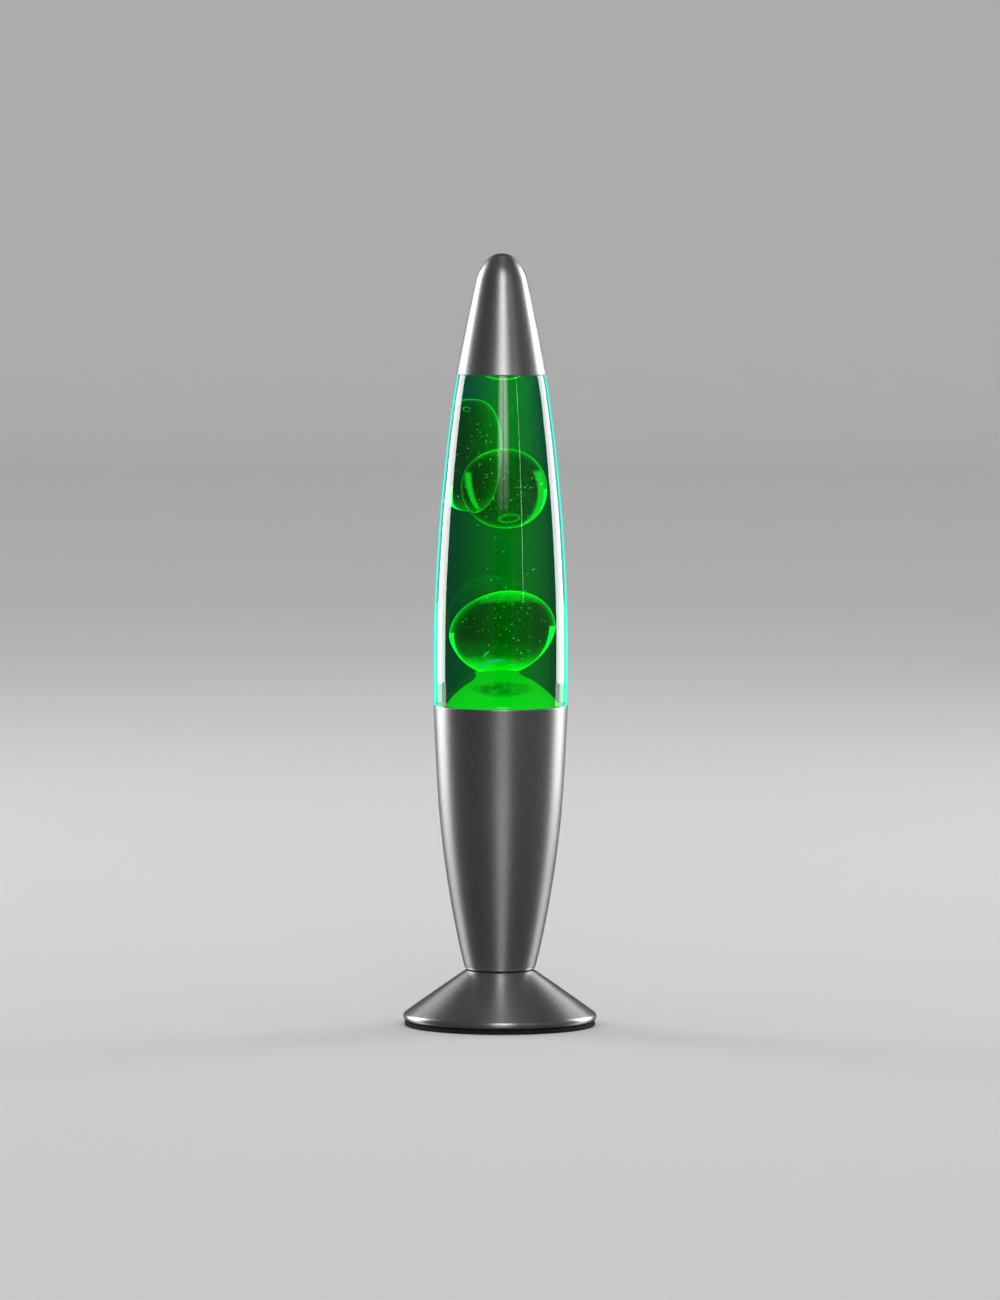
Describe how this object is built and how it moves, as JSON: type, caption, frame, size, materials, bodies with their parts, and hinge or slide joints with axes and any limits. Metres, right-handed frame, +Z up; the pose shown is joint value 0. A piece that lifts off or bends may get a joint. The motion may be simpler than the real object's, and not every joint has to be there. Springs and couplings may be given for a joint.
{
  "type": "lava lamp",
  "caption": "Rocket-shaped lava lamp: a glass bottle of liquid and wax stands in a vase-shaped metal body over a reflector bulb, on a conical weighted foot, under a pointed cap.",
  "frame": {"origin": "centre of the underside of the pad, on the table", "axes": "+Z up along the lamp's axis, towards the nose of the cap; -Y is the front, and the cord grommet is at +Y"},
  "size_m": [0.0848, 0.0848, 0.3393],
  "materials": {
    "brushed_aluminium": "satin brushed",
    "zinc_plated_steel": "zinc plated",
    "cast_iron": "painted casting",
    "brass": "drawn",
    "nickelled_cap": "nickel plated",
    "black_foam_pad": "matt closed-cell foam",
    "black_rubber": "matt",
    "black_plastic": "matt",
    "phenolic": "moulded",
    "ceramic": "unglazed",
    "clear_glass": "clear, polished",
    "bulb_glass": "frosted",
    "dyed_liquid": "clear teal-green dye",
    "green_wax": "translucent molten wax",
    "crown_liner": "soft seal",
    "tungsten": "drawn wire",
    "brown_sleeve": "insulation",
    "blue_sleeve": "insulation"
  },
  "bodies": {
    "base": {"body_shell": "brushed_aluminium", "foot_shell": "brushed_aluminium", "cord_grommet": "black_rubber", "counterweight": "cast_iron", "base_plate": "black_plastic", "plate_screw_1": "zinc_plated_steel", "plate_screw_2": "zinc_plated_steel", "plate_screw_3": "zinc_plated_steel", "base_pad": "black_foam_pad", "threaded_tube": "zinc_plated_steel", "lower_nut": "zinc_plated_steel", "lower_washer": "zinc_plated_steel", "upper_washer": "zinc_plated_steel", "upper_nut": "zinc_plated_steel", "holder_cap": "phenolic", "holder_skirt": "phenolic", "holder_insert": "ceramic", "holder_thread_shell": "brass", "contact_leaf": "brass", "holder_screw_1": "brass", "holder_screw_2": "brass", "terminal_block": "ceramic", "terminal_screw_1": "brass", "terminal_screw_2": "brass", "lead_live": "brown_sleeve", "lead_neutral": "blue_sleeve"},
    "bulb": {"bulb_envelope": "bulb_glass", "bulb_screw_cap": "nickelled_cap", "bulb_insulator": "phenolic", "bulb_tip_contact": "zinc_plated_steel", "bulb_stem": "clear_glass", "bulb_post_left": "tungsten", "bulb_post_right": "tungsten", "bulb_filament": "tungsten"},
    "bottle": {"bottle_glass": "clear_glass", "crown_cap": "zinc_plated_steel", "crown_liner": "crown_liner", "liquid": "dyed_liquid", "wax_mound": "green_wax", "wax_coil": "zinc_plated_steel"},
    "cap": {"top_cap": "brushed_aluminium"},
    "low_wax": {"wax_blob_low": "green_wax"},
    "high_wax": {"wax_blob_high": "green_wax"},
    "side_wax": {"wax_blob_side": "green_wax"},
    "top_wax": {"wax_blob_top": "green_wax"}
  },
  "joints": [
    {"name": "bulb_unscrew", "type": "hinge", "parent": "base", "child": "bulb", "pos_m": [0, 0, 0.055], "axis": [0, 0, 1], "range_deg": [0, 1080]},
    {"name": "bottle_lift", "type": "slide", "parent": "base", "child": "bottle", "axis": [0, 0, 1], "range_m": [0, 0.045]},
    {"name": "cap_lift", "type": "slide", "parent": "bottle", "child": "cap", "axis": [0, 0, 1], "range_m": [0, 0.04]},
    {"name": "low_wax_rise", "type": "slide", "parent": "bottle", "child": "low_wax", "axis": [0, 0, 1], "range_m": [0, 0.012], "deforming": ["liquid"]},
    {"name": "high_wax_sink", "type": "slide", "parent": "bottle", "child": "high_wax", "axis": [0, 0, 1], "range_m": [-0.01, 0], "deforming": ["liquid"]},
    {"name": "side_wax_sink", "type": "slide", "parent": "bottle", "child": "side_wax", "axis": [0, 0, 1], "range_m": [-0.008, 0], "deforming": ["liquid"]},
    {"name": "top_wax_sink", "type": "slide", "parent": "bottle", "child": "top_wax", "axis": [0, 0, 1], "range_m": [-0.008, 0], "deforming": ["liquid"]}
  ]
}
